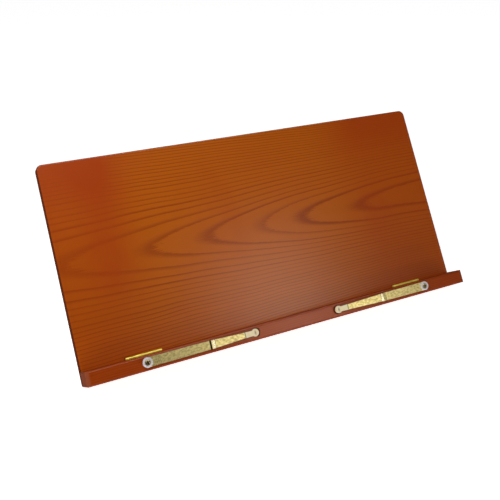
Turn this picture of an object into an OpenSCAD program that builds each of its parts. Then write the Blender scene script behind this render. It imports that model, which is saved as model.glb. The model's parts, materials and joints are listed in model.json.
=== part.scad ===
// Photo album stand: a leaning back panel, a ledge hinged to its foot, two turning
// page-holder arms on the ledge's front, and a folding leg hinged to the panel's back.
//
// The stand faces -Y and stands on z = 0. Its origin is the middle of the flat that the
// panel's foot rests on. Most pieces are drawn in the panel's own frame: x across, y up the
// panel from the corner where the panel meets the ledge's top, z out of the panel's front.

/* [Panel] */
// Width of the panel and of the ledge
stand_w = 480; // [400:5:560]
// Height of the panel above the ledge's top
panel_h = 222; // [190:1:280]
// Thickness of the panel
panel_t = 9.2; // [8:0.2:14]
// Radius of the panel's top corners
panel_corner_r = 7; // [4:0.5:12]
// Radius of the panel's long edges
panel_edge_r = 1.6; // [0.8:0.1:2.4]
// Lean of the panel back from upright, in degrees
lean = 32; // [24:1:38]
// Depth that is planed off the panel's lowest edge, so that it stands flat
foot_flat = 2; // [1:0.5:3]

/* [Ledge] */
// Depth of the ledge, out of the panel
ledge_d = 29.5; // [24:0.5:40]
// Height of the ledge
ledge_h = 15.8; // [15:0.1:24]
// Radius of the ledge's edges
ledge_edge_r = 2; // [1:0.1:2.4]
// Radius of the corners of the ledge's front, as seen from the front
ledge_corner_r = 1; // [0.5:0.5:3]
// Radius of the upright edges at the ends of the ledge's front
ledge_end_r = 5; // [2:0.5:8]
// Gap between the ledge's back and the panel
ledge_gap = 0.3; // [0.3:0.05:0.5]

/* [Ledge hinges] */
// Distance of each hinge's middle from the middle of the stand
ledge_hinge_x = 171.8; // [120:0.2:175]
// Length of each hinge
ledge_hinge_l = 40; // [30:1:50]
// Radius of the barrel
ledge_barrel_r = 1.7; // [1.4:0.05:1.8]
// Width of a leaf below the barrel
ledge_leaf_w = 11; // [9:0.5:12]

/* [Page arms] */
// Distance of each pivot from the middle of the stand
pivot_x = 177; // [150:0.5:200]
// Depth of the pivots below the ledge's top
pivot_down = 7.2; // [6.5:0.1:9]
// Length of an arm from its pivot to the middle of its round end
arm_l = 123.2; // [100:0.2:140]
// Thickness of the arm strip
arm_t = 1.2; // [1:0.1:2]
// Width of an arm at its pivot
arm_w = 10.3; // [9:0.1:11]
// Width of an arm at its crank
arm_crank_w = 9.3; // [8:0.1:10]
// Width of an arm at its neck
arm_neck_w = 5.4; // [4.5:0.1:6.5]
// Width of an arm's round end
arm_end_w = 7.8; // [6.8:0.1:9]
// Distance from the pivot to the left arm's crank
left_crank_u = 70; // [50:1:85]
// Distance from the pivot to the right arm's crank
right_crank_u = 59; // [50:1:85]
// Height that the strip steps out at the crank
crank_rise = 2; // [0.5:0.1:3]
// Length of the step at the left arm's crank
left_crank_run = 1.4; // [1.2:0.1:5]
// Length of the step at the right arm's crank
right_crank_run = 5; // [1.2:0.1:5]
// Length of the raised crest beyond the left arm's step
left_crest_l = 3.6; // [1:0.1:6]
// Length of the raised crest beyond the right arm's step
right_crest_l = 3; // [1:0.1:6]
// Length of the clear sleeve on the end of an arm
sleeve_l = 17; // [12:0.5:22]
// Thickness of the sleeve
sleeve_t = 0.3; // [0.3:0.05:0.6]
// Depth of the finger pocket under an arm's end
pocket_depth = 3.5; // [2:0.5:5]
// Distance of the left pocket's middle beyond the arm's round end
left_pocket_shift = 1.6; // [0:0.1:2]
// Distance of the right pocket's middle beyond the arm's round end
right_pocket_shift = 1.2; // [0:0.1:2]

/* [Pivot fittings] */
// Outer radius of the cup washer
cup_r = 5.4; // [5.2:0.1:6]
// Height of the cup washer
cup_h = 1.5; // [1.2:0.1:2]
// Thickness of the spacer washer under an arm
spacer_t = 0.9; // [0.8:0.1:1.5]
// Radius of the pivot screw's head
pivot_head_r = 3.4; // [3:0.1:3.8]
// Radius of the pivot screw's plain shank, which the arm turns on
pivot_shank_r = 2; // [1.7:0.05:2.2]
// Radial clearance of the arm on the shank
pivot_fit = 0.06; // [0.03:0.01:0.1]

/* [Leg] */
// Height of the leg's hinge up the panel
leg_hinge_up = 150; // [135:1:165]
// Angle between the open leg and the panel, in degrees
leg_open = 53; // [48:1:58]
// Width of the leg
leg_w = 180; // [150:2:220]
// Thickness of the leg
leg_t = 12; // [10:0.5:14]
// Width of a leg stile
stile_w = 24; // [18:1:30]
// Height of the top rail below the hinge
top_rail_h = 30; // [26:1:40]
// Height of the bottom rail
bottom_rail_h = 22; // [16:1:30]

/* [Leg hinges] */
// Distance of each leg hinge's middle from the middle of the stand
leg_hinge_x = 42; // [36:1:45]
// Length of each leg hinge
leg_hinge_l = 40; // [30:1:44]
// Radius of the barrel
leg_barrel_r = 1.7; // [1.6:0.05:2]
// Width of a leaf below the barrel
leg_leaf_w = 15; // [12:0.5:18]

/* [Hidden] */

$fn = 48;
// Overlap that makes a cut run clear through a face
eps = 0.5;
// Larger than the stand in every direction
huge = 1000;

PANEL_COLOUR = [0.62, 0.28, 0.06];
LEDGE_COLOUR = [0.55, 0.20, 0.04];
LEG_COLOUR = [0.56, 0.24, 0.06];
ARM_COLOUR = [0.80, 0.72, 0.38];
HINGE_COLOUR = [0.84, 0.74, 0.28];
SCREW_COLOUR = [0.74, 0.64, 0.34];
SLEEVE_COLOUR = [0.93, 0.90, 0.78];
WASHER_COLOUR = [0.80, 0.79, 0.82];

// The foot's flat, in the panel's frame turned upright about the inner corner
foot_corner_y = -ledge_h * sin(lean) + panel_t * cos(lean);
foot_corner_z = -ledge_h * cos(lean) - panel_t * sin(lean);
rest_z = foot_corner_z + foot_flat;
rest_y = foot_corner_y + foot_flat * (tan(lean) - 1 / tan(lean)) / 2;

// Ledge hinge: its axis stands in front of the panel, just under the ledge's top
ledge_leaf_t = 1.1;
ledge_axis_y = 0.3;
ledge_axis_z = 1.2;
ledge_knuckles = 4;
barrel_relief = 0.5;
mortise_gap = 0.1;
relief_end_gap = 1;

// Hinge parts that both kinds share
knuckle_gap = 0.5;
pin_fit = 0.05;
pin_r = 0.8;
pin_head_t = 0.4;
pin_head_r = 1.15;
tab_over_bore = 0.15;

// Countersunk hinge screws
hinge_screw_r = 0.9;
hinge_screw_head_r = 1.9;
hinge_screw_head_h = 0.8;
hinge_screw_l = 6.5;
screw_hole_gap = 0.05;
slot_w = 0.5;
slot_depth = 0.35;
// Distance of the outer screws from the middle one, as a share of the hinge's length
screw_spread = 0.32;
// How much lower the outer screws stand
screw_stagger = 0.8;

// Arm heights above the ledge's front
play = 0.05;
arm_z = spacer_t + play;
cup_z = arm_z + arm_t + play;
crank_steps = 12;
crest_rise = 0.2;
crest_run = 1.2;
tip_clearance = 0.4;
tip_z = tip_clearance + sleeve_t;
arm_end_r = arm_end_w / 2;
neck_u = arm_l - arm_end_r - 3;
sleeve_u = arm_l + arm_end_r + sleeve_t - sleeve_l;
pocket_end_gap = 0.9;
pocket_side_gap = 0.8;
spacer_r = 4.8;
pivot_screw_l = 14;
pivot_thread_r = 1.7;
cup_rim_r = 0.9;
seat_depth = 0.9;
head_proud = 0.2;
cross_turn = 20;
cross_w = 1.2;
cross_l = 4.4;
cross_depth = 1;
// What differs between the arms: distance, step and crest of the crank, and the pocket's shift
left_arm = [left_crank_u, left_crank_run, left_crest_l, left_pocket_shift];
right_arm = [right_crank_u, right_crank_run, right_crest_l, right_pocket_shift];

// Leg hinge: its axis stands behind the panel
leg_leaf_t = 1.3;
leg_axis_out = 2;
leg_axis_z = -panel_t - leg_axis_out;
leg_knuckles = 3;
leg_stop_gap = 0.3;
leg_axis_height = leg_hinge_up * cos(lean) + leg_axis_z * sin(lean) - rest_z;
leg_tilt = leg_open - lean;
leg_reach = leg_axis_height / cos(leg_tilt) + (leg_t + leg_axis_out) * tan(leg_tilt);
leg_head = (leg_axis_out + (leg_axis_out + leg_t) * cos(leg_open)) / sin(leg_open);
bottom_rail_up = 34;
tenon_l = 9;
tenon_t = 4;
tenon_shoulder = 4;
leg_edge_r = 2;

// ---------------------------------------------------------------- frames

module in_panel() {
    translate([0, -rest_y, -rest_z]) rotate([90 - lean, 0, 0]) children();
}

module on_ledge_axis() {
    in_panel() translate([0, ledge_axis_y, ledge_axis_z]) children();
}

module on_leg_axis() {
    in_panel() translate([0, leg_hinge_up, leg_axis_z]) children();
}

module in_leg() {
    on_leg_axis() rotate([leg_open, 0, 0]) children();
}

// An arm's frame: x along the arm from its pivot, z out of the ledge's front
module in_arm(side) {
    in_panel() translate([side * pivot_x, -pivot_down, ledge_d]) mirror([side > 0 ? 1 : 0, 0, 0])
        children();
}

// Takes away everything under the table's top
module on_table() {
    difference() {
        children();
        translate([-huge / 2, -huge / 2, -huge]) cube(huge);
    }
}

// ---------------------------------------------------------------- shapes

// A rectangle from one corner to the other, with round corners
module round_rect(low, high, r) {
    size = high - low;
    translate(low + [r, 0]) square([size[0] - 2 * r, size[1]]);
    translate(low + [0, r]) square([size[0], size[1] - 2 * r]);
    for (x = [low[0] + r, high[0] - r], y = [low[1] + r, high[1] - r])
        translate([x, y]) circle(r);
}

// Extrudes an outline drawn in y and z along x, centred on x = 0
module along_x(length) {
    rotate([90, 0, 90]) linear_extrude(length, center = true) children();
}

// A bar that has rounded edges in all three views. back_r is the last radius at the bar's
// back, where 0 leaves it square.
module round_bar(low, high, front_r, side_r, top_r, back_r) {
    intersection() {
        translate([0, 0, low[2]]) linear_extrude(high[2] - low[2])
            round_rect([low[0], low[1]], [high[0], high[1]], front_r);
        along_x(high[0] - low[0] + eps)
            round_rect([low[1], low[2]], [high[1], high[2]], side_r);
        translate([0, high[1] + eps, 0]) rotate([90, 0, 0])
            linear_extrude(high[1] - low[1] + 2 * eps)
                round_rect([low[0], low[2] + back_r - top_r], [high[0], high[2]], top_r);
    }
}

// A countersunk screw with its head's top at z = 0, pointing to -z
module countersunk_screw(length) {
    difference() {
        union() {
            translate([0, 0, -hinge_screw_head_h])
                cylinder(hinge_screw_head_h, hinge_screw_r, hinge_screw_head_r);
            translate([0, 0, -length]) cylinder(length, r = hinge_screw_r);
        }
        translate([-hinge_screw_head_r, -slot_w / 2, -slot_depth])
            cube([2 * hinge_screw_head_r, slot_w, slot_depth + eps]);
    }
}

// The hole for a countersunk screw
module screw_hole(length) {
    g = screw_hole_gap;
    translate([0, 0, -hinge_screw_head_h])
        cylinder(hinge_screw_head_h, hinge_screw_r + g, hinge_screw_head_r + g);
    translate([0, 0, -length - g]) cylinder(length + g + eps, r = hinge_screw_r + g);
    translate([0, 0, -play]) cylinder(eps, r = hinge_screw_head_r + g);
}

// ---------------------------------------------------------------- butt hinges

// A hinge's leaf: its knuckles are on the x axis, and its plate hangs down -y, from z0 to z1.
// It owns every second knuckle, from the one numbered first.
module hinge_leaf(length, count, barrel_r, width, z0, z1, first, tab_top, screws) {
    pitch = length / count;
    clear = barrel_r + barrel_relief;
    difference() {
        union() {
            translate([-length / 2, -width, z0]) cube([length, width - clear, z1 - z0]);
            for (k = [first:2:count - 1]) translate([-length / 2 + k * pitch, 0, 0]) {
                translate([knuckle_gap / 2, 0, 0]) rotate([0, 90, 0])
                    cylinder(pitch - knuckle_gap, r = barrel_r);
                translate([knuckle_gap / 2, -clear - eps, z0])
                    cube([pitch - knuckle_gap, clear + eps + tab_top, z1 - z0]);
            }
        }
        translate([-length / 2 - eps, 0, 0]) rotate([0, 90, 0])
            cylinder(length + 2 * eps, r = pin_r + pin_fit);
        for (p = screws) translate([p[0], p[1], z1]) screw_hole(hinge_screw_l);
    }
}

// A hinge's pin, with a peened head at each end
module hinge_pin(length) {
    rotate([0, 90, 0]) cylinder(length - knuckle_gap, r = pin_r, center = true);
    for (side = [-1, 1]) translate([side * (length - knuckle_gap + pin_head_t) / 2, 0, 0])
        rotate([0, 90, 0]) cylinder(pin_head_t, r = pin_head_r, center = true);
}

function screw_places(length, width, barrel_r) = [
    for (x = [-1, 0, 1])
        [x * length * screw_spread, -(width + barrel_r) / 2 - abs(x) * screw_stagger]
];

ledge_screws = screw_places(ledge_hinge_l, ledge_leaf_w, ledge_barrel_r);
leg_screws = screw_places(leg_hinge_l, leg_leaf_w, leg_barrel_r);

// ---------------------------------------------------------------- panel and ledge

// What a ledge hinge needs cut away, in the frame of its axis: a groove for the barrel, and
// the mortise of one leaf
module ledge_hinge_recess(z0, z1) {
    g = mortise_gap;
    rotate([0, 90, 0])
        cylinder(ledge_hinge_l + 2 * relief_end_gap, r = ledge_barrel_r + barrel_relief,
                 center = true);
    translate([-ledge_hinge_l / 2 - g, -ledge_leaf_w - g, z0])
        cube([ledge_hinge_l + 2 * g, ledge_leaf_w + g, z1 - z0]);
}

// Takes off the sharp edge that is left round a top corner of the panel
module corner_rounding() {
    r = panel_edge_r;
    rotate_extrude(angle = 90) difference() {
        translate([panel_corner_r - r, -r]) square([r + eps, r + eps]);
        translate([panel_corner_r - r, -r]) circle(r);
    }
}

module back_panel() {
    w = stand_w / 2;
    color(PANEL_COLOUR) difference() {
        in_panel() difference() {
            intersection() {
                round_bar([-w, -ledge_h, -panel_t], [w, panel_h, 0], ledge_corner_r,
                          panel_edge_r, panel_edge_r, panel_edge_r);
                translate([0, 0, -panel_t - eps]) linear_extrude(panel_t + 2 * eps)
                    round_rect([-w, -ledge_h - 2 * panel_corner_r], [w, panel_h],
                               panel_corner_r);
            }
            for (side = [0, 1]) mirror([side, 0, 0])
                translate([w - panel_corner_r, panel_h - panel_corner_r, 0]) {
                    corner_rounding();
                    translate([0, 0, -panel_t]) mirror([0, 0, 1]) corner_rounding();
                }
            for (side = [-1, 1])
                translate([side * ledge_hinge_x, ledge_axis_y, ledge_axis_z]) {
                    ledge_hinge_recess(-ledge_axis_z - ledge_leaf_t, -ledge_axis_z + eps);
                    for (p = ledge_screws) translate([p[0], p[1], -ledge_axis_z])
                        screw_hole(hinge_screw_l);
                }
            for (side = [-1, 1], p = leg_screws)
                translate([side * leg_hinge_x + p[0], leg_hinge_up + p[1],
                           -panel_t - leg_leaf_t])
                    mirror([0, 0, 1]) screw_hole(hinge_screw_l);
        }
        translate([-huge / 2, -huge / 2, -huge]) cube(huge);
    }
}

// The keyhole pocket under an arm's end, in the arm's frame
module finger_pocket(which) {
    half = arm_neck_w / 2 + sleeve_t + pocket_side_gap;
    translate([0, 0, -pocket_depth]) linear_extrude(pocket_depth + eps) {
        translate([arm_l + which[3], 0]) circle(arm_end_r + sleeve_t + pocket_end_gap);
        translate([sleeve_u - pocket_side_gap, -half])
            square([arm_l - sleeve_u + pocket_side_gap, 2 * half]);
    }
}

module ledge() {
    w = stand_w / 2;
    color(LEDGE_COLOUR) difference() {
        in_panel() difference() {
            round_bar([-w, -ledge_h, ledge_gap], [w, 0, ledge_d], ledge_corner_r,
                      ledge_edge_r, ledge_end_r, 0);
            for (side = [-1, 1])
                translate([side * ledge_hinge_x, ledge_axis_y, ledge_axis_z]) {
                    ledge_hinge_recess(ledge_gap - ledge_axis_z - eps,
                                       ledge_gap - ledge_axis_z + ledge_leaf_t);
                    for (p = ledge_screws)
                        translate([p[0], p[1], ledge_gap - ledge_axis_z])
                            mirror([0, 0, 1]) screw_hole(hinge_screw_l);
                }
        }
        for (side = [-1, 1]) in_arm(side) {
            finger_pocket(side < 0 ? left_arm : right_arm);
            translate([0, 0, -pivot_screw_l])
                cylinder(pivot_screw_l + eps, r = pivot_thread_r + screw_hole_gap);
        }
    }
}

// ---------------------------------------------------------------- ledge hinges

module ledge_panel_leaf(side) {
    color(HINGE_COLOUR) on_ledge_axis() translate([side * ledge_hinge_x, 0, 0])
        hinge_leaf(ledge_hinge_l, ledge_knuckles, ledge_barrel_r, ledge_leaf_w,
                   -ledge_axis_z - ledge_leaf_t, -ledge_axis_z, 0, 0, ledge_screws);
}

module ledge_ledge_leaf(side) {
    low = ledge_gap - ledge_axis_z;
    color(HINGE_COLOUR) on_ledge_axis() translate([side * ledge_hinge_x, 0, 0])
        mirror([0, 0, 1])
            hinge_leaf(ledge_hinge_l, ledge_knuckles, ledge_barrel_r, ledge_leaf_w,
                       -low - ledge_leaf_t, -low, 1, -pin_r - pin_fit - tab_over_bore,
                       ledge_screws);
}

module ledge_pin(side) {
    color(HINGE_COLOUR) on_ledge_axis() translate([side * ledge_hinge_x, 0, 0])
        hinge_pin(ledge_hinge_l);
}

module ledge_hinge_panel_screws() {
    color(SCREW_COLOUR) on_ledge_axis() for (side = [-1, 1], p = ledge_screws)
        translate([side * ledge_hinge_x + p[0], p[1], -ledge_axis_z])
            countersunk_screw(hinge_screw_l);
}

module ledge_hinge_ledge_screws() {
    color(SCREW_COLOUR) on_ledge_axis() for (side = [-1, 1], p = ledge_screws)
        translate([side * ledge_hinge_x + p[0], p[1], ledge_gap - ledge_axis_z])
            mirror([0, 0, 1]) countersunk_screw(hinge_screw_l);
}

// ---------------------------------------------------------------- page arms

function ease(f) = (1 - cos(180 * min(max(f, 0), 1))) / 2;

// How much later the strip's back steps out than its face, so that it keeps its thickness
function step_lag(which) = arm_t * tan(atan(PI / 2 * crank_rise / which[1]) / 2);

// Height of the strip's back at distance u from the pivot: flat, a step out at the crank with
// a low crest after it, then a gentle fall to the tip
function strip_z(u, which, lag) =
    let (step_end = which[0] + which[1] / 2 + lag,
         fall = arm_z + crank_rise - tip_z)
    arm_z + (crank_rise + crest_rise) * ease((u - step_end) / which[1] + 1)
        - crest_rise * ease((u - step_end - which[2]) / crest_run)
        - fall * max(0, (u - which[0]) / (arm_l - which[0]));

function strip_stations(which, lag) =
    let (step_end = which[0] + which[1] / 2 + lag)
    concat(
        [-arm_w],
        [for (k = [0:crank_steps]) step_end + (k / crank_steps - 1) * which[1]],
        [for (k = [0:crank_steps]) step_end + which[2] + k / crank_steps * crest_run],
        [arm_l + arm_w]
    );

// The strip seen from its edge, in the arm's x and z, grown by a skin on both faces
module strip_side(which, skin) {
    lag = step_lag(which);
    face = strip_stations(which, 0);
    back = strip_stations(which, lag);
    last = len(face) - 1;
    polygon(concat(
        [for (k = [0:last]) [face[k], strip_z(face[k], which, 0) + arm_t + skin]],
        [for (k = [last:-1:0]) [back[k], strip_z(back[k], which, lag) - skin]]
    ));
}

// The strip seen from the front, grown by a skin on its edges
module strip_front(which, skin) {
    crank_u = which[0];
    circle(arm_w / 2 + skin);
    polygon([
        [0, -arm_w / 2 - skin], [crank_u, -arm_crank_w / 2 - skin],
        [neck_u, -arm_neck_w / 2 - skin], [arm_l, -arm_neck_w / 2 - skin],
        [arm_l, arm_neck_w / 2 + skin], [neck_u, arm_neck_w / 2 + skin],
        [crank_u, arm_crank_w / 2 + skin], [0, arm_w / 2 + skin]
    ]);
    translate([arm_l, 0]) circle(arm_end_r + skin);
}

module strip(which, skin) {
    intersection() {
        linear_extrude(4 * arm_w) strip_front(which, skin);
        rotate([90, 0, 0]) linear_extrude(2 * arm_w, center = true)
            strip_side(which, skin);
    }
}

module arm(side, which) {
    color(ARM_COLOUR) in_arm(side) difference() {
        strip(which, 0);
        cylinder(4 * arm_w, r = pivot_shank_r + pivot_fit);
    }
}

module sleeve(side, which) {
    color(SLEEVE_COLOUR) in_arm(side) difference() {
        intersection() {
            strip(which, sleeve_t);
            translate([sleeve_u, -arm_w, 0]) cube([arm_l, 2 * arm_w, 4 * arm_w]);
        }
        strip(which, 0);
    }
}

module spacer(side) {
    color(WASHER_COLOUR) in_arm(side) difference() {
        cylinder(spacer_t, r = spacer_r);
        translate([0, 0, -eps]) cylinder(spacer_t + 2 * eps, r = pivot_shank_r + pivot_fit);
    }
}

// A cup washer: a ring with a rounded rim and a sunk seat for the screw's head
module cup_washer(side) {
    color(WASHER_COLOUR) in_arm(side) translate([0, 0, cup_z]) difference() {
        rotate_extrude() intersection() {
            union() {
                square([cup_r, cup_h - cup_rim_r]);
                square([cup_r - cup_rim_r, cup_h]);
                translate([cup_r - cup_rim_r, cup_h - cup_rim_r]) circle(cup_rim_r);
            }
            square([cup_r, cup_h]);
        }
        translate([0, 0, -eps]) cylinder(cup_h + 2 * eps, r = pivot_shank_r + pivot_fit);
        translate([0, 0, cup_h - seat_depth])
            cylinder(seat_depth + eps, r = pivot_head_r + pivot_fit);
    }
}

// A pivot screw: its domed cross-head sits in the cup washer, and the arm turns on its shank
module pivot_screw(side) {
    head_z = cup_z + cup_h - seat_depth;
    head_h = seat_depth + head_proud;
    dome_r = (pivot_head_r * pivot_head_r + head_h * head_h) / (2 * head_h);
    color(SCREW_COLOUR) in_arm(side) difference() {
        union() {
            translate([0, 0, head_z]) intersection() {
                cylinder(head_h, r = pivot_head_r);
                translate([0, 0, head_h - dome_r]) sphere(dome_r);
            }
            cylinder(head_z, r = pivot_shank_r);
            translate([0, 0, -pivot_screw_l]) cylinder(pivot_screw_l, r = pivot_thread_r);
        }
        for (turn = [0, 90]) rotate(turn + cross_turn) translate([0, 0, head_z + head_h])
            cube([cross_l, cross_w, 2 * cross_depth], center = true);
    }
}

// ---------------------------------------------------------------- leg

// Cuts a piece of the open leg off at the table, and at the panel's back, which it stops on
module trim_leg() {
    difference() {
        on_table() in_leg() children();
        in_panel() translate([-huge / 2, -huge / 2, -panel_t - leg_stop_gap]) cube(huge);
    }
}

// The outline of a stile or rail seen from its end, with eased edges
module leg_section(low, high) {
    round_rect([low, -leg_axis_out - leg_t], [high, -leg_axis_out], leg_edge_r);
}

function leg_rail_x() = leg_w / 2 - stile_w;
tenon_z = -leg_axis_out - (leg_t + tenon_t) / 2;

module leg_tenon_room(low, high, gap) {
    translate([leg_rail_x() - eps, low + tenon_shoulder - gap, tenon_z - gap])
        cube([tenon_l + eps + gap, high - low - 2 * tenon_shoulder + 2 * gap,
              tenon_t + 2 * gap]);
}

bottom_rail_low = -leg_reach + bottom_rail_up;

module leg_stile(side) {
    color(LEG_COLOUR) trim_leg() mirror([side < 0 ? 1 : 0, 0, 0]) difference() {
        translate([leg_rail_x(), leg_head + eps, 0]) rotate([90, 0, 0])
            linear_extrude(leg_head + leg_reach + leg_t)
                round_rect([0, -leg_axis_out - leg_t], [stile_w, -leg_axis_out], leg_edge_r);
        leg_tenon_room(-top_rail_h, 0, play);
        leg_tenon_room(bottom_rail_low, bottom_rail_low + bottom_rail_h, play);
    }
}

module leg_top_rail() {
    color(LEG_COLOUR) trim_leg() difference() {
        union() {
            along_x(2 * leg_rail_x()) leg_section(-top_rail_h, leg_head + 2 * leg_t);
            for (side = [0, 1]) mirror([side, 0, 0]) leg_tenon_room(-top_rail_h, 0, 0);
        }
        for (side = [-1, 1], p = leg_screws)
            translate([side * leg_hinge_x + p[0], p[1], leg_leaf_t - leg_axis_out])
                screw_hole(hinge_screw_l);
    }
}

module leg_bottom_rail() {
    color(LEG_COLOUR) trim_leg() {
        along_x(2 * leg_rail_x())
            leg_section(bottom_rail_low, bottom_rail_low + bottom_rail_h);
        for (side = [0, 1]) mirror([side, 0, 0])
            leg_tenon_room(bottom_rail_low, bottom_rail_low + bottom_rail_h, 0);
    }
}

// ---------------------------------------------------------------- leg hinges

module leg_leaf(first) {
    hinge_leaf(leg_hinge_l, leg_knuckles, leg_barrel_r, leg_leaf_w, -leg_axis_out,
               leg_leaf_t - leg_axis_out, first, -pin_r - pin_fit - tab_over_bore,
               leg_screws);
}

module leg_fixed_leaf(side) {
    color(HINGE_COLOUR) on_leg_axis() translate([side * leg_hinge_x, 0, 0])
        mirror([0, 0, 1]) leg_leaf(0);
}

module leg_moving_leaf(side) {
    color(HINGE_COLOUR) in_leg() translate([side * leg_hinge_x, 0, 0]) leg_leaf(1);
}

module leg_pin(side) {
    color(HINGE_COLOUR) on_leg_axis() translate([side * leg_hinge_x, 0, 0])
        hinge_pin(leg_hinge_l);
}

module leg_hinge_panel_screws() {
    color(SCREW_COLOUR) on_leg_axis() for (side = [-1, 1], p = leg_screws)
        translate([side * leg_hinge_x + p[0], p[1], leg_axis_out - leg_leaf_t])
            mirror([0, 0, 1]) countersunk_screw(hinge_screw_l);
}

module leg_hinge_leg_screws() {
    color(SCREW_COLOUR) in_leg() for (side = [-1, 1], p = leg_screws)
        translate([side * leg_hinge_x + p[0], p[1], leg_leaf_t - leg_axis_out])
            countersunk_screw(hinge_screw_l);
}

// ---------------------------------------------------------------- the stand

back_panel();
ledge();
ledge_panel_leaf(-1);  // ledge_hinge_left_panel_leaf
ledge_ledge_leaf(-1);  // ledge_hinge_left_ledge_leaf
ledge_pin(-1);  // ledge_hinge_left_pin
ledge_panel_leaf(1);  // ledge_hinge_right_panel_leaf
ledge_ledge_leaf(1);  // ledge_hinge_right_ledge_leaf
ledge_pin(1);  // ledge_hinge_right_pin
ledge_hinge_panel_screws();
ledge_hinge_ledge_screws();
arm(-1, left_arm);  // arm_left
sleeve(-1, left_arm);  // arm_left_sleeve
spacer(-1);  // arm_left_spacer
cup_washer(-1);  // arm_left_cup_washer
pivot_screw(-1);  // arm_left_screw
arm(1, right_arm);  // arm_right
sleeve(1, right_arm);  // arm_right_sleeve
spacer(1);  // arm_right_spacer
cup_washer(1);  // arm_right_cup_washer
pivot_screw(1);  // arm_right_screw
leg_stile(-1);  // leg_stile_left
leg_stile(1);  // leg_stile_right
leg_top_rail();
leg_bottom_rail();
leg_fixed_leaf(-1);  // leg_hinge_left_fixed_leaf
leg_moving_leaf(-1);  // leg_hinge_left_moving_leaf
leg_pin(-1);  // leg_hinge_left_pin
leg_fixed_leaf(1);  // leg_hinge_right_fixed_leaf
leg_moving_leaf(1);  // leg_hinge_right_moving_leaf
leg_pin(1);  // leg_hinge_right_pin
leg_hinge_panel_screws();
leg_hinge_leg_screws();
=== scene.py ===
import json
import math

import bpy
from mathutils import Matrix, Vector


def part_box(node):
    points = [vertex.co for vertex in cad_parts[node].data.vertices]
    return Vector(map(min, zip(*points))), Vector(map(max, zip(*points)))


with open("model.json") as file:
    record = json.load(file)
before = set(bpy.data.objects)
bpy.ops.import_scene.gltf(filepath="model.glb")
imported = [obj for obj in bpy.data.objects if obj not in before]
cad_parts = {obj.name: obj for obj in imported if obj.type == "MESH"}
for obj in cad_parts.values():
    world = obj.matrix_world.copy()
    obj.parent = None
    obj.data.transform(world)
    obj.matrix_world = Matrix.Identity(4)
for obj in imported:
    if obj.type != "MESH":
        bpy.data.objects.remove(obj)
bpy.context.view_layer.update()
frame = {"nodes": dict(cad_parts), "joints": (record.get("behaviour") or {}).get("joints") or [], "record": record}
scene = bpy.context.scene
nodes = frame["nodes"]
joints = {j["name"]: j for j in frame["joints"]}

# The panel's own frame: ACROSS it, UP it and OUT of its front. CORNER is the middle of the line where its
# front would meet the ledge's top. The axis of the ledge's hinges stands a little above and in front of it.
ACROSS = Vector((1, 0, 0))
OUT = Vector(joints["arm_left_turn"]["axis"]).normalized()
UP = Vector((0, OUT.z, -OUT.y))
AXIS_ABOVE = 0.0003
AXIS_IN_FRONT = 0.0012
CORNER = Vector(joints["ledge_fold"]["pos_m"]) - UP * AXIS_ABOVE - OUT * AXIS_IN_FRONT
LEFT_PIVOT = Vector(joints["arm_left_turn"]["pos_m"])


# ---------------------------------------------------------------- camera
# It stands where a perspective fit of the photo's edges puts it.
camera_data = bpy.data.cameras.new("camera")
camera = bpy.data.objects.new("camera", camera_data)
scene.collection.objects.link(camera)
scene.camera = camera
heading, dip = math.radians(27.438), math.radians(22.636)
ahead = Vector((math.sin(heading) * math.cos(dip), math.cos(heading) * math.cos(dip), -math.sin(dip)))
camera.location = (-0.36185, -0.66070, 0.46900)
camera.rotation_mode = "QUATERNION"
camera.rotation_quaternion = ahead.to_track_quat("-Z", "Y")
camera_data.sensor_width = 36
camera_data.lens = 53.822
camera_data.shift_x = -0.04316
camera_data.shift_y = -0.08622
camera_data.clip_start, camera_data.clip_end = 0.02, 60


# ---------------------------------------------------------------- shader expressions
class Field:
    """A shader socket that can be added, multiplied and so on, so that a pattern reads as a formula."""

    def __init__(self, shader, socket):
        self.shader, self.socket = shader, socket

    def _math(self, kind, *others):
        return self.shader.math(kind, self, *others)

    def __add__(self, other):
        return self._math("ADD", other)

    def __radd__(self, other):
        return self._math("ADD", other)

    def __sub__(self, other):
        return self._math("SUBTRACT", other)

    def __rsub__(self, other):
        return self.shader.math("SUBTRACT", other, self)

    def __mul__(self, other):
        return self._math("MULTIPLY", other)

    def __truediv__(self, other):
        return self._math("DIVIDE", other)

    def __neg__(self):
        return self._math("MULTIPLY", -1.0)

    def sqrt(self):
        return self._math("SQRT")

    def abs(self):
        return self._math("ABSOLUTE")

    def tanh(self):
        return self._math("TANH")

    def cos(self):
        return self._math("COSINE")

    def exp(self):
        return self._math("EXPONENT")

    def floor(self):
        return self._math("FLOOR")

    def fract(self):
        return self._math("FRACT")

    def clamp(self):
        result = self._math("ADD", 0.0)
        result.socket.node.use_clamp = True
        return result


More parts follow.
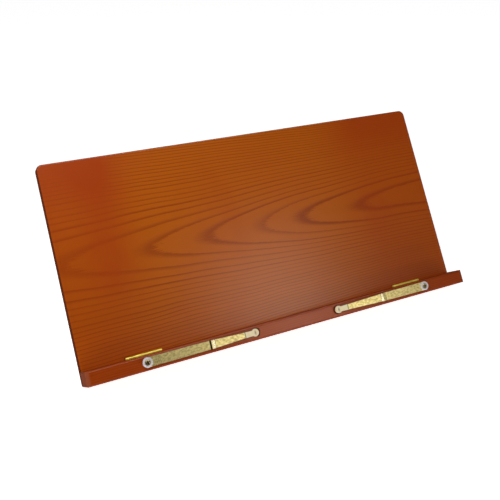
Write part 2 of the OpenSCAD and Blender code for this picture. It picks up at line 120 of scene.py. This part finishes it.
class Shader:
    """One node material, with a Principled surface."""

    def __init__(self, name):
        self.material = bpy.data.materials.new(name)
        self.material.use_nodes = True
        self.tree = self.material.node_tree
        self.tree.nodes.clear()
        self.output = self.tree.nodes.new("ShaderNodeOutputMaterial")
        self.surface = self.tree.nodes.new("ShaderNodeBsdfPrincipled")
        self.tree.links.new(self.surface.outputs[0], self.output.inputs["Surface"])
        self.coordinates = self.tree.nodes.new("ShaderNodeTexCoord")

    def put(self, target, value):
        if isinstance(value, Field):
            self.tree.links.new(value.socket, target)
        elif isinstance(value, (tuple, list, Vector)) and len(value) == 3 and target.type == "RGBA":
            target.default_value = (*value, 1.0)
        else:
            target.default_value = value

    def math(self, kind, *values):
        node = self.tree.nodes.new("ShaderNodeMath")
        node.operation = kind
        for target, value in zip(node.inputs, values):
            self.put(target, value)
        return Field(self, node.outputs[0])

    def vector(self, x, y, z):
        node = self.tree.nodes.new("ShaderNodeCombineXYZ")
        for target, value in zip(node.inputs, (x, y, z)):
            self.put(target, value)
        return Field(self, node.outputs[0])

    def dot(self, vector, fixed):
        node = self.tree.nodes.new("ShaderNodeVectorMath")
        node.operation = "DOT_PRODUCT"
        self.put(node.inputs[0], vector)
        node.inputs[1].default_value = fixed
        return Field(self, node.outputs["Value"])

    def point(self):
        return Field(self, self.coordinates.outputs["Object"])

    def normal(self):
        return Field(self, self.coordinates.outputs["Normal"])

    def along(self, axis, origin):
        """Distance in millimetres of the point from the origin, along an axis."""
        return (self.dot(self.point(), axis) - origin.dot(axis)) * 1000.0

    def noise(self, vector, scale=1.0, detail=2.0, rough=0.5):
        node = self.tree.nodes.new("ShaderNodeTexNoise")
        self.put(node.inputs["Vector"], vector)
        node.inputs["Scale"].default_value = scale
        node.inputs["Detail"].default_value = detail
        node.inputs["Roughness"].default_value = rough
        return Field(self, node.outputs[0])

    def chance(self, value):
        node = self.tree.nodes.new("ShaderNodeTexWhiteNoise")
        node.noise_dimensions = "1D"
        self.put(node.inputs["W"], value)
        return Field(self, node.outputs["Value"])

    def smooth(self, value, start, end):
        """0 below start and 1 above end, with a soft step between."""
        node = self.tree.nodes.new("ShaderNodeMapRange")
        node.interpolation_type = "SMOOTHSTEP"
        self.put(node.inputs["Value"], value)
        node.inputs["From Min"].default_value = start
        node.inputs["From Max"].default_value = end
        return Field(self, node.outputs[0])

    def mix(self, amount, first, second, kind="MIX"):
        node = self.tree.nodes.new("ShaderNodeMix")
        node.data_type = "RGBA"
        node.blend_type = kind
        self.put(node.inputs[0], amount)
        self.put(node.inputs[6], first)
        self.put(node.inputs[7], second)
        return Field(self, node.outputs[2])

    def bump(self, height, distance, strength=1.0):
        node = self.tree.nodes.new("ShaderNodeBump")
        node.inputs["Distance"].default_value = distance
        node.inputs["Strength"].default_value = strength
        self.put(node.inputs["Height"], height)
        return Field(self, node.outputs[0])

    def set(self, **values):
        for key, value in values.items():
            self.put(self.surface.inputs[key.replace("_", " ")], value)


def end_grain(shader):
    """1 where the surface faces left or right, across the grain of the panel and the ledge."""
    return shader.smooth(shader.dot(shader.normal(), ACROSS).abs(), 0.12, 0.5)


def rounded_edge(shader):
    """1 on rounded edges and 0 on the flats of a piece that stands square in the panel's frame. The leg
    stands aslant in it, so its flats count in part as edges, and it is painted a little lighter all over."""
    across = shader.dot(shader.normal(), ACROSS).abs()
    up = shader.dot(shader.normal(), UP).abs()
    out = shader.dot(shader.normal(), OUT).abs()
    flattest = shader.math("MAXIMUM", shader.math("MAXIMUM", across, up), out)
    return shader.smooth(1.0 - flattest, 0.02, 0.22)


# ---------------------------------------------------------------- wood
def wood_surface(shader, rings, x, u, light, dark, red, contrast, stain, roughness=0.42, coat=1.0,
                 coat_roughness=0.24, ends=None, edge_wear_and_highlight=0.25, pale=0.0):
    """Varnished wood. rings is the count of growth rings at a point. x runs with the grain and u across it,
    in millimetres. stain is 1 where the stain took redder and darker, and pale is 1 where painted light makes
    it lighter. ends is the colour of the end faces: darker on the panel, as end grain that takes more stain and
    as painted shade, and lighter and pinker on the ledge. edge_wear_and_highlight is how much lighter rounded
    edges are painted, partly as worn finish and partly as a painted highlight."""
    fibre = shader.noise(shader.vector(x * 0.035, u * 2.6, 0.0), 1.0, 3.0, 0.6)
    fine = shader.noise(shader.vector(x * 0.11, u * 7.5, 3.0), 1.0, 2.0, 0.6)
    # The rings are most ragged where u is near 0, at the tips of the panel's arches.
    near_tip = (-(u * u) / 260.0).exp()
    ragged = rings + ((fibre - 0.5) * 0.5 + (fine - 0.5) * 0.25) * (near_tip + 0.2)
    index = ragged.floor()
    # A ring is a dark line that fades as the ring goes on, with a sharp edge where the next one starts.
    late = 1.0 - shader.smooth(ragged.fract(), 0.0, 0.5)
    early_edge = shader.smooth(ragged.fract(), 0.93, 1.0)
    line = shader.math("MAXIMUM", late * late, early_edge)
    line = line * (0.65 + shader.chance(index + 0.37) * 0.6)
    pores = shader.smooth(shader.noise(shader.vector(x * 0.22, u * 9.0, 7.0), 1.0, 1.0, 0.5), 0.62, 0.74)
    shade = (line * contrast + (fibre - 0.5) * 0.55 + (fine - 0.5) * 0.5 + pores * 0.25).clamp()
    colour = shader.mix(shade, light, dark)
    colour = shader.mix(stain, colour, red)
    colour = shader.mix(pale, colour, (1.24, 1.24, 1.24), "MULTIPLY")
    # Rounded edges are painted lighter in patches: partly worn finish, partly a painted highlight where they catch
    # the light.
    edge = rounded_edge(shader)
    edge_patches = shader.noise(shader.vector(x * 0.03, u * 0.2, 11.0), 1.0, 3.0, 0.6)
    worn_and_highlit = edge * shader.smooth(edge_patches, 0.35, 0.7)
    colour = shader.mix(worn_and_highlit * edge_wear_and_highlight, colour, [min(1.0, c * 1.4 + 0.01) for c in light])
    # The end faces take the ends colour: darker on the panel, partly end grain that takes more stain and partly
    # painted shade against the side light; lighter and pinker on the ledge.
    if ends:
        pith = shader.noise(shader.vector(rings * 1.6, fibre * 2.0, 0.0), 1.0, 2.0, 0.5)
        colour = shader.mix(end_grain(shader), colour, shader.mix(pith, ends, [c * 0.72 for c in ends]))
    # Painted shade: what faces down is painted darker, as the shade under the stand.
    below = shader.smooth(-shader.dot(shader.normal(), (0, 0, 1)), 0.05, 0.6)
    colour = shader.mix(below * 0.7, colour, [c * 0.3 for c in dark])
    shader.set(Base_Color=colour)
    shader.set(Roughness=(roughness + (fibre - 0.5) * 0.16 + worn_and_highlit * 0.08).clamp())
    height = fine * 0.5 + fibre - line * 0.45 - pores * 0.6
    shader.set(Normal=shader.bump(height, 0.00008, 0.5))
    orange_peel = shader.noise(shader.vector(x * 0.16, u * 0.16, 5.0), 1.0, 2.0, 0.5)
    shader.set(Coat_Normal=shader.bump(orange_peel + height * 0.12, 0.00010, 0.5))
    shader.surface.inputs["Coat Weight"].default_value = coat
    shader.surface.inputs["Coat Roughness"].default_value = coat_roughness
    shader.surface.inputs["Coat IOR"].default_value = 1.5
    shader.surface.inputs["Specular IOR Level"].default_value = 0.0


def panel_material():
    """One flat-sawn board: arches that point to the left and nest along its middle, and straighter, closer
    grain above and below them that draws together towards the right. The stain is redder in a band near the
    left end and at both ends, most of all at the top corners. Along the foot it is painted lighter, as painted
    light where the ledge shades it."""
    middle = 110.3
    pith_behind = 92.0
    rings_per_mm = 0.44
    shader = Shader("panel_wood")
    x = shader.along(ACROSS, CORNER)
    up = shader.along(UP, CORNER)
    depth = shader.along(OUT, CORNER)
    sway = shader.noise(shader.vector(x * 0.007, up * 0.011, 1.0), 1.0, 2.0, 0.5)
    u = up - middle + (sway - 0.5) * 7.0
    from_pith = depth + pith_behind
    arch = (u * u + from_pith * from_pith).sqrt() * rings_per_mm - pith_behind * rings_per_mm
    turn = (u * (math.pi / 138)).cos()
    far_right = shader.math("MAXIMUM", x - 158.0, 0.0)
    slope = (x - 30.0) * 0.0092 + ((x - 20.0) / 100.0).tanh() * 0.82 - far_right * 0.0042
    rings = 2.63 + arch - slope * turn
    uneven = shader.noise(shader.vector(rings * 0.33, 0.5, 0.5), 1.0, 1.0, 0.5)
    rings = rings + (uneven - 0.5) * 1.1
    blotch = shader.noise(shader.vector(x * 0.012, up * 0.008, 2.0), 1.0, 3.0, 0.55)
    from_band = (x + 178.0) / 26.0
    band = (-from_band * from_band).exp() * shader.smooth(up, 20.0, 190.0)
    ends = shader.smooth((x + 20.0).abs(), 100.0, 190.0)
    high = shader.smooth(up, 150.0, 215.0)
    stain = (band * 0.45 + shader.smooth(blotch, 0.45, 0.8) * 0.3 + ends * (high * 0.45 + 0.45)).clamp()
    # Painted light: the panel's foot is painted lighter, where the ledge shades it.
    foot = 1.0 - shader.smooth(up, 14.0, 46.0)
    wood_surface(shader, rings, x, u, (0.500, 0.104, 0.0008), (0.310, 0.050, 0.0004), (0.41, 0.049, 0.0004),
                 contrast=0.95, stain=stain, ends=(0.16, 0.022, 0.001), pale=foot)
    return shader.material


def ledge_material():
    """A redder bar with close, straight grain along its length."""
    shader = Shader("ledge_wood")
    x = shader.along(ACROSS, CORNER)
    up = shader.along(UP, CORNER)
    out = shader.along(OUT, CORNER)
    sway = shader.noise(shader.vector(x * 0.006, 4.0, 1.0), 1.0, 2.0, 0.5)
    u = up + out * 0.45 + (sway - 0.5) * 5.0 - x * 0.008
    rings = u * 0.42
    uneven = shader.noise(shader.vector(rings * 0.4, 8.5, 0.5), 1.0, 1.0, 0.5)
    rings = rings + (uneven - 0.5) * 1.3
    blotch = shader.noise(shader.vector(x * 0.01, up * 0.05, 9.0), 1.0, 3.0, 0.55)
    stain = shader.smooth(blotch, 0.4, 0.8) * 0.45
    # The ledge's rounded edges are painted much lighter, mostly as a painted highlight along its top edge.
    wood_surface(shader, rings, x, u, (0.370, 0.050, 0.0008), (0.230, 0.027, 0.0004), (0.29, 0.028, 0.0004),
                 contrast=0.6, stain=stain, coat=0.75, ends=(0.37, 0.080, 0.026), edge_wear_and_highlight=0.55)
    return shader.material


def leg_material(name, grain, side, tilt, wander, rings_per_mm, seeds):
    """Satin stained bars, with close grain. grain and side are the axes along and across it. tilt says how
    the rings lean through the bar's thickness, and wander how far they stray, in millimetres. seeds make the
    sway, the rings and the blotches of one kind of bar differ from the other's."""
    sway_seed, ring_seed, blotch_seed = seeds
    shader = Shader(name)
    x = shader.along(grain, CORNER)
    u = shader.along(side, CORNER)
    depth = shader.along(OUT, CORNER)
    sway = shader.noise(shader.vector(x * 0.008, u * 0.004, sway_seed), 1.0, 2.0, 0.5)
    across = u + depth * tilt + (sway - 0.5) * wander
    rings = across * rings_per_mm
    uneven = shader.noise(shader.vector(rings * 0.4, ring_seed, 0.5), 1.0, 1.0, 0.5)
    rings = rings + (uneven - 0.5) * 1.2
    blotch = shader.noise(shader.vector(x * 0.012, u * 0.02, blotch_seed), 1.0, 3.0, 0.55)
    stain = shader.smooth(blotch, 0.4, 0.8) * 0.4
    wood_surface(shader, rings, x, across, (0.430, 0.085, 0.004), (0.270, 0.042, 0.002), (0.33, 0.038, 0.001),
                 contrast=0.55, stain=stain, coat=0.5, coat_roughness=0.34)
    return shader.material


# ---------------------------------------------------------------- metal and plastic
# In millimetres: the height of a pivot screw's head over its joint, how fast its dome falls off, and the
# radius that its cross stays inside.
SCREW_TOP = max((v.co - LEFT_PIVOT).dot(OUT) * 1000.0 for v in nodes["arm_left_screw"].data.vertices)
DOME_CURVE = 0.082
CROSS_REACH = 2.6


def shade_in_cross(shader, joint):
    """1 inside the cross of the pivot screw on a joint's axis: near the axis, and under the head's dome."""
    pivot = Vector(joint["pos_m"])
    x, u, n = (shader.along(axis, pivot) for axis in (ACROSS, UP, OUT))
    away = (x * x + u * u).sqrt()
    dome = SCREW_TOP - away * away * DOME_CURVE
    return shader.smooth(dome - n, 0.12, 0.5) * shader.smooth(CROSS_REACH - away, 0.0, 0.3)


def crest_x(node):
    """Where an arm stands highest, at the end of its crank's step, in millimetres from the stand's middle."""
    return max((v.co for v in nodes[node].data.vertices), key=lambda c: c.dot(OUT)).x * 1000.0


def screw_cross_shade(shader, colour):
    """Painted shade, near black, in the crosses of the pivot screws, and no smoothed, highlighted band."""
    crosses = [shade_in_cross(shader, joints[turn]) for turn in ("arm_left_turn", "arm_right_turn")]
    return shader.mix(shader.math("MAXIMUM", *crosses), colour, (0.05, 0.035, 0.015)), 0.0


def arm_wear_and_painted_light(shader, colour):
    """Painted shade, near black, on the steep face of the left arm's crank, short slanting scratches beside its
    pivot, and a painted highlight on a smoother crest beyond each crank, with painted shade on the crease at its
    end."""
    x = shader.along(ACROSS, CORNER)
    u = shader.along(UP, CORNER)
    # Painted shade: the steep face of the left arm's crank is painted near black.
    left = shader.smooth(-x, 0.0, 1.0)
    steep = shader.smooth(-shader.dot(shader.normal(), ACROSS), 0.12, 0.4)
    colour = shader.mix(left * steep * 0.96, colour, (0.03, 0.025, 0.010))
    from_pivot = x - LEFT_PIVOT.x * 1000.0
    strokes = shader.smooth((((from_pivot - u * 0.7) * 0.42).fract() - 0.5).abs(), 0.34, 0.48)
    near = shader.smooth(from_pivot, 5.0, 7.0) * shader.smooth(18.0 - from_pivot, 0.0, 4.0)
    low = shader.smooth(-u, 5.5, 7.5)
    colour = shader.mix(strokes * near * low * 0.55, colour, (0.20, 0.15, 0.05))
    polish_and_highlight = 0.0
    # Beyond each crank, a painted highlight on a crest that is also made smoother, and painted shade on the crease
    # at its end.
    for node, side, length in (("arm_left", 1, 4.2), ("arm_right", -1, 3.4)):
        beyond = (x - crest_x(node)) * side
        band = shader.smooth(beyond, -0.5, length - 0.8) * shader.smooth(length - beyond, 0.0, 0.6)
        polish_and_highlight = band + polish_and_highlight
        crease = shader.smooth(0.7 - (beyond - length - 0.5).abs(), 0.0, 0.6)
        colour = shader.mix(crease * 0.35, colour, (0.35, 0.26, 0.10))
    return shader.mix(polish_and_highlight * 0.85, colour, (1.0, 0.97, 0.80)), polish_and_highlight


def brass_material(name, bright, dull, roughness, mottle, scratch, scale=1.0, marks=None):
    """Brass with cloudy tarnish, specks and fine scratches that run left to right. marks adds the marks of
    one kind of piece: it takes the colour, and gives the new one and where the metal is made smoother and painted
    with a highlight."""
    shader = Shader(name)
    x = shader.along(ACROSS, CORNER)
    u = shader.along(UP, CORNER)
    n = shader.along(OUT, CORNER)
    cloud = shader.noise(shader.vector(x * 0.30 * scale, u * 0.5 * scale, n * 0.5 * scale), 1.0, 4.0, 0.62)
    speck = shader.noise(shader.vector(x * 1.6, u * 2.4, n * 2.4), 1.0, 3.0, 0.6)
    lines = shader.noise(shader.vector(x * 0.25, u * 9.0, n * 9.0), 1.0, 2.0, 0.6)
    tarnish = (shader.smooth(cloud, 0.38, 0.66) * mottle + (speck - 0.5) * 0.7 * mottle
               + (lines - 0.5) * scratch).clamp()
    colour = shader.mix(tarnish, bright, dull)
    polish_and_highlight = 0.0
    if marks:
        colour, polish_and_highlight = marks(shader, colour)
    shader.set(Base_Color=colour)
    shader.set(Metallic=1.0)
    shader.set(Roughness=(roughness + tarnish * 0.16 + (speck - 0.5) * 0.12 - polish_and_highlight * 0.08).clamp())
    shader.set(Normal=shader.bump(speck * 0.7 + cloud * 1.5 + lines * 0.5, 0.00012, 0.45))
    return shader.material


def sleeve_marks(shader, colour):
    """The darker mouth of each sleeve, and the short brown mark in the middle of its round end."""
    mark_from_tip = 4.2
    rim_reach = 1.3
    x = shader.along(ACROSS, CORNER)
    along = shader.along(UP, LEFT_PIVOT)
    for node, side, mouth, tip in (("arm_left_sleeve", -1, 0, 1), ("arm_right_sleeve", 1, 1, 0)):
        box = [c.x * 1000.0 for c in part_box(node)]
        here = shader.smooth(x * side, 0.0, 1.0)
        rim = shader.smooth(rim_reach - (x - box[mouth]).abs(), 0.0, 0.7)
        colour = shader.mix(here * rim * 0.85, colour, (0.27, 0.25, 0.11))
        across = x - (box[tip] + side * mark_from_tip)
        mark = (-(across * across) * 0.9 - along * along * 0.22).exp()
        colour = shader.mix(here * mark * 0.9, colour, (0.36, 0.17, 0.10))
    return colour


def plastic_material(name, colour, tint, roughness, transmission=0.0, scatter=0.0, marks=None):
    """Moulded plastic: faint clouding and a fine satin grain. marks adds the marks of one kind of piece."""
    shader = Shader(name)
    x = shader.along(ACROSS, CORNER)
    u = shader.along(UP, CORNER)
    n = shader.along(OUT, CORNER)
    cloud = shader.noise(shader.vector(x * 0.25, u * 0.25, n * 0.25), 1.0, 3.0, 0.55)
    grain = shader.noise(shader.vector(x * 5.0, u * 5.0, n * 5.0), 1.0, 2.0, 0.5)
    base = shader.mix(shader.smooth(cloud, 0.35, 0.75), colour, tint)
    if marks:
        base = marks(shader, base)
    shader.set(Base_Color=base)
    shader.set(Roughness=(roughness + (grain - 0.5) * 0.1 + (cloud - 0.5) * 0.12).clamp())
    shader.set(Normal=shader.bump(grain * 0.5 + cloud, 0.00006, 0.4))
    shader.surface.inputs["Transmission Weight"].default_value = transmission
    shader.surface.inputs["Subsurface Weight"].default_value = scatter
    shader.surface.inputs["Subsurface Radius"].default_value = (1.0, 0.9, 0.8)
    shader.surface.inputs["Subsurface Scale"].default_value = 0.001
    return shader.material


finishes = {
    "panel_wood": panel_material(),
    "ledge_wood": ledge_material(),
    "leg_wood": leg_material("leg_wood", UP, ACROSS, 0.3, 9.0, 0.27, (1.0, 2.5, 4.0)),
    "arm_brass": brass_material("arm_brass", (1.0, 0.87, 0.42), (0.60, 0.49, 0.19), 0.31, 0.8, 0.4,
                                marks=arm_wear_and_painted_light),
    "hinge_brass": brass_material("hinge_brass", (1.0, 0.87, 0.15), (0.92, 0.74, 0.10), 0.36, 0.45, 0.2),
    "screw_brass": brass_material("screw_brass", (0.74, 0.62, 0.36), (0.42, 0.34, 0.18), 0.36, 0.6, 0.1, 2.0,
                                  marks=screw_cross_shade),
    "clear_sleeve": plastic_material("clear_sleeve", (1.0, 0.87, 0.56), (1.0, 0.78, 0.38), 0.22,
                                     transmission=0.12, marks=sleeve_marks),
    "washer_nylon": plastic_material("washer_nylon", (0.80, 0.75, 0.77), (0.70, 0.66, 0.67), 0.38,
                                     scatter=0.3),
}
# The leg's stiles have grain that runs down them, and its rails have grain that runs across.
rails = leg_material("leg_rail_wood", ACROSS, UP, 0.4, 8.0, 0.3, (6.0, 6.5, 12.0))
for part in frame["record"]["subparts"]:
    node = nodes[part["node"]]
    finish = rails if "rail" in part["node"] else finishes[part["material_slot"]]
    for slot in node.material_slots:
        slot.material = finish
    if not node.material_slots:
        node.data.materials.append(finish)


# ---------------------------------------------------------------- floor and light
def floor_material():
    """A pale matt floor, which glows so that it comes out white."""
    shader = Shader("floor")
    cloud = shader.noise(shader.point(), 3.0, 2.0, 0.5)
    shader.set(Base_Color=shader.mix(cloud, (0.90, 0.90, 0.90), (0.93, 0.93, 0.93)))
    shader.set(Roughness=(0.7 + cloud * 0.1).clamp())
    shader.surface.inputs["Specular IOR Level"].default_value = 0.1
    shader.surface.inputs["Emission Color"].default_value = (1, 1, 1, 1)
    shader.surface.inputs["Emission Strength"].default_value = 0.95
    return shader.material


FLOOR_REACH = 14.0
floor_mesh = bpy.data.meshes.new("floor")
corners = [(x * FLOOR_REACH, y * FLOOR_REACH, 0) for x, y in ((-1, -1), (1, -1), (1, 1), (-1, 1))]
floor_mesh.from_pydata(corners, [], [(0, 1, 2, 3)])
floor_mesh.materials.append(floor_material())
floor = bpy.data.objects.new("floor", floor_mesh)
scene.collection.objects.link(floor)
# The floor is kept out of reflections, because its glow would fill them with white.
floor.visible_glossy = False

world = bpy.data.worlds.new("studio")
scene.world = world
world.use_nodes = True
backdrop = world.node_tree.nodes["Background"]
backdrop.inputs["Color"].default_value = (1, 1, 1, 1)
backdrop.inputs["Strength"].default_value = 0.04


AIM = Vector((0, 0.02, 0.08))


def area_light(name, azimuth, elevation, distance, width, height, power):
    """A soft box, aimed at the stand. Azimuth 0 is in front of it and a positive one to its right, in
    degrees. Sizes are in metres and power in watts."""
    data = bpy.data.lights.new(name, "AREA")
    data.shape = "RECTANGLE"
    data.size, data.size_y = width, height
    data.energy = power
    light = bpy.data.objects.new(name, data)
    a, e = math.radians(azimuth), math.radians(elevation)
    away = Vector((math.sin(a) * math.cos(e), -math.cos(a) * math.cos(e), math.sin(e)))
    light.location = AIM + away * distance
    light.rotation_mode = "QUATERNION"
    light.rotation_quaternion = (-away).to_track_quat("-Z", "Y")
    scene.collection.objects.link(light)
    return light


# The key, fill and side lights shape the stand without showing in its varnish.
area_light("key", -66, 58, 0.84, 0.5, 0.4, 3.05).visible_glossy = False
area_light("fill", 34, 12, 1.6, 1.2, 0.5, 1.6).visible_glossy = False
area_light("side", -72, 14, 1.4, 0.8, 0.5, 1.3).visible_glossy = False
# The front light is only a warm reflection in the varnish.
front = area_light("front", 27, 18, 1.5, 0.30, 0.85, 2.7)
front.data.color = (1.0, 0.92, 0.76)
front.visible_diffuse = False
area_light("top", 10, 84, 1.8, 1.2, 1.2, 1.9)
# These two are seen only in reflections, on rounded edges, the hinges' barrels and the arms' cranks.
area_light("strip", 38, 76, 1.4, 1.8, 0.3, 9.0).visible_diffuse = False
area_light("right", 90, 12, 1.5, 0.6, 0.7, 2.4).visible_diffuse = False

scene.view_settings.view_transform = "Standard"
scene.view_settings.look = "None"
